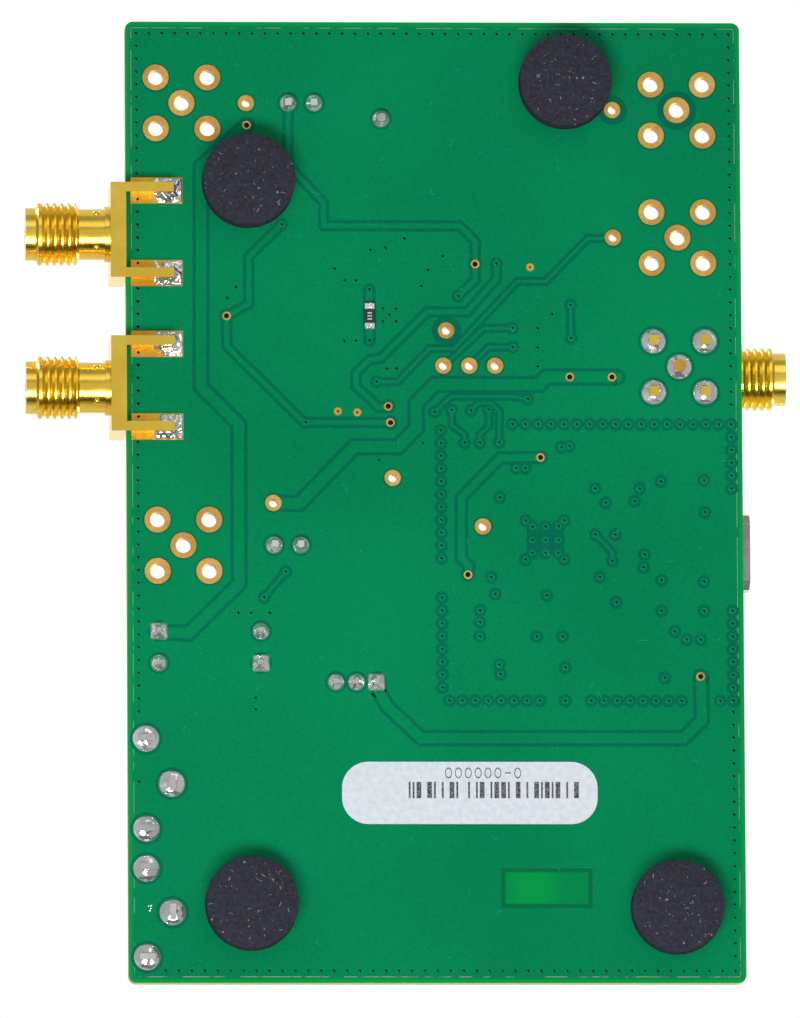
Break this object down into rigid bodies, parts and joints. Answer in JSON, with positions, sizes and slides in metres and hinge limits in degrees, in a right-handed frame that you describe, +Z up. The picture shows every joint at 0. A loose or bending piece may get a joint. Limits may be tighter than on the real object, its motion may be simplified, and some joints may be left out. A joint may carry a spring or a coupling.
{
  "type": "radio-frequency evaluation board",
  "caption": "Green circuit board on rubber feet with gold coaxial jacks on its edges, a USB receptacle, power sockets, jumpers and a slide switch.",
  "frame": {"origin": "centre of the bounding box on the plane the feet stand on", "axes": "+Z up, away from the feet; +Y along the long side, towards the end with the two spare footprints side by side; +X towards the two edge-launch output jacks"},
  "size_m": [0.0752, 0.0952, 0.0151],
  "materials": {
    "black_plastic": "moulded black",
    "blue_plastic": "moulded blue",
    "can_aluminium": "drawn can",
    "ceramic_tan": "fired ceramic",
    "chip_black": "moulded epoxy",
    "foot_rubber": "matt, dusty",
    "gold_plate": "gold plated",
    "green_board": "green solder mask over glass laminate",
    "insulator_white": "white fluoropolymer",
    "label_paper": "white, printed with bars",
    "lens_clear": "clear lens",
    "red_plastic": "moulded red",
    "seal_rubber": "seal",
    "solder": "bright solder",
    "steel_shell": "nickel plated",
    "tin_plate": "tinned"
  },
  "bodies": {
    "board": {"capacitor_a_can": "can_aluminium", "capacitor_a_leads": "tin_plate", "capacitor_a_seal": "seal_rubber", "capacitor_b_can": "can_aluminium", "capacitor_b_leads": "tin_plate", "capacitor_b_seal": "seal_rubber", "circuit_board": "green_board", "controller_chip_body": "chip_black", "controller_chip_leads": "tin_plate", "crystal_cans": "steel_shell", "edge_jack_lands": "gold_plate", "edge_jack_solder": "solder", "indicator_lights": "lens_clear", "jumper_a_base": "black_plastic", "jumper_a_pins": "gold_plate", "jumper_b_base": "black_plastic", "jumper_b_pins": "gold_plate", "large_solder_joints": "solder", "output_jack_a_body": "gold_plate", "output_jack_a_contact": "gold_plate", "output_jack_a_insulator": "insulator_white", "output_jack_b_body": "gold_plate", "output_jack_b_contact": "gold_plate", "output_jack_b_insulator": "insulator_white", "part_label": "label_paper", "passive_bodies": "ceramic_tan", "passive_ends": "solder", "power_socket_negative_contact": "tin_plate", "power_socket_negative_housing": "black_plastic", "power_socket_positive_contact": "tin_plate", "power_socket_positive_housing": "red_plastic", "power_switch_base": "black_plastic", "power_switch_cover": "steel_shell", "power_switch_terminals": "tin_plate", "reference_jack_body": "gold_plate", "reference_jack_contact": "gold_plate", "reference_jack_insulator": "insulator_white", "reference_jack_rear_cap": "gold_plate", "rubber_feet": "foot_rubber", "small_chip_bodies": "chip_black", "small_chip_leads": "tin_plate", "small_solder_joints": "solder", "spare_jack_holes": "gold_plate", "synthesizer_chip_body": "chip_black", "synthesizer_chip_leads": "tin_plate", "test_holes": "gold_plate", "test_point_bead": "red_plastic", "test_point_loop": "tin_plate", "trace_vias": "gold_plate", "underside_resistor": "chip_black", "usb_contacts": "gold_plate", "usb_shell": "steel_shell", "usb_tongue": "black_plastic"},
    "shunt_a": {"jumper_a_shunt_cap": "blue_plastic", "jumper_a_shunt_clip": "gold_plate"},
    "shunt_b": {"jumper_b_shunt_cap": "blue_plastic", "jumper_b_shunt_clip": "gold_plate"},
    "switch_lever": {"power_switch_slider": "black_plastic", "power_switch_bridge": "tin_plate"}
  },
  "joints": [
    {"name": "shunt_a_lift", "type": "slide", "parent": "board", "child": "shunt_a", "axis": [0, 0, 1], "range_m": [0, 0.008]},
    {"name": "shunt_b_lift", "type": "slide", "parent": "board", "child": "shunt_b", "axis": [0, 0, 1], "range_m": [0, 0.008]},
    {"name": "switch_slide", "type": "slide", "parent": "board", "child": "switch_lever", "axis": [1, 0, 0], "range_m": [0, 0.002]}
  ]
}
